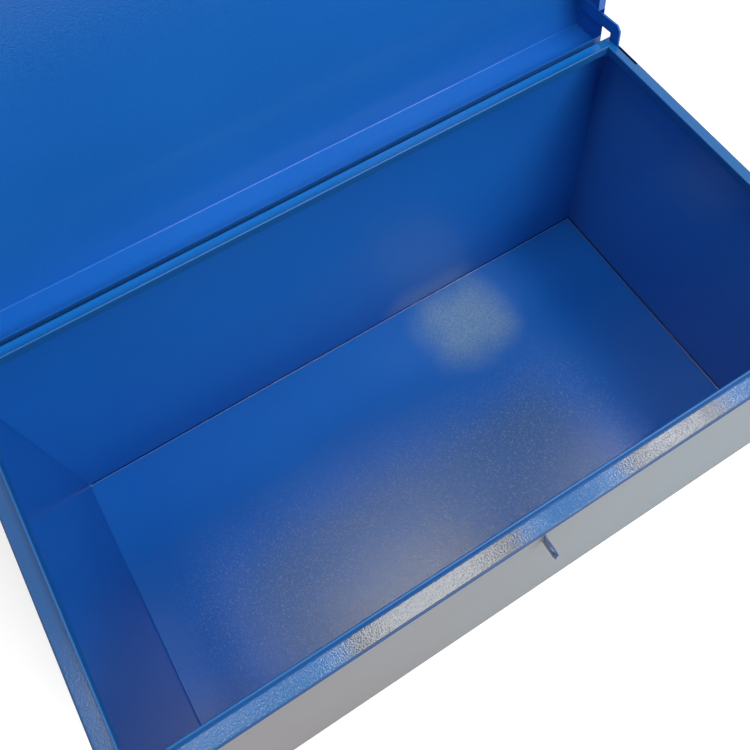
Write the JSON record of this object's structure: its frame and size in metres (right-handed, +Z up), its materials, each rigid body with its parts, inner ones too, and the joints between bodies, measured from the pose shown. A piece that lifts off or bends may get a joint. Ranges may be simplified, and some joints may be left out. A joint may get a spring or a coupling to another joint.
{
  "type": "tool chest",
  "caption": "Steel storage chest with a shallow hinged lid on two cranked arms, a padlock lug pair and drop handles, drawn with the lid open.",
  "frame": {"origin": "middle of the front wall's foot flange, on the ground", "axes": "+X to the right along the front, +Y from the front to the rear, +Z up; the lid is open on its stop"},
  "size_m": [1.038, 0.6853, 0.9751],
  "materials": {
    "blue_coat": "semi-gloss textured powder coat, blue",
    "grey_and_blue_coat": "light grey coat outside, blue powder coat inside and on the rim",
    "zinc": "zinc plated fastener steel"
  },
  "bodies": {
    "chest": {"front_wall": "grey_and_blue_coat", "rear_wall": "blue_coat", "left_wall": "blue_coat", "right_wall": "blue_coat", "floor_panel": "blue_coat", "left_hinge_bracket": "blue_coat", "right_hinge_bracket": "blue_coat", "hinge_bolts": "zinc", "hinge_washers": "blue_coat", "hinge_nuts": "blue_coat", "body_lug": "blue_coat", "left_handle_plate": "blue_coat", "right_handle_plate": "blue_coat"},
    "lid": {"lid_pan": "blue_coat", "left_hinge_arm": "blue_coat", "right_hinge_arm": "blue_coat", "lid_lug": "blue_coat"},
    "left_handle": {"left_handle_bail": "blue_coat"},
    "right_handle": {"right_handle_bail": "blue_coat"}
  },
  "joints": [
    {"name": "lid_close", "type": "hinge", "parent": "chest", "child": "lid", "pos_m": [0, 0.5205, 0.419], "axis": [1, 0, 0], "range_deg": [0, 95]},
    {"name": "left_handle_lift", "type": "hinge", "parent": "chest", "child": "left_handle", "pos_m": [-0.511, 0.2585, 0.3], "axis": [0, 1, 0], "range_deg": [0, 90]},
    {"name": "right_handle_lift", "type": "hinge", "parent": "chest", "child": "right_handle", "pos_m": [0.511, 0.2585, 0.3], "axis": [0, -1, 0], "range_deg": [0, 90]}
  ]
}
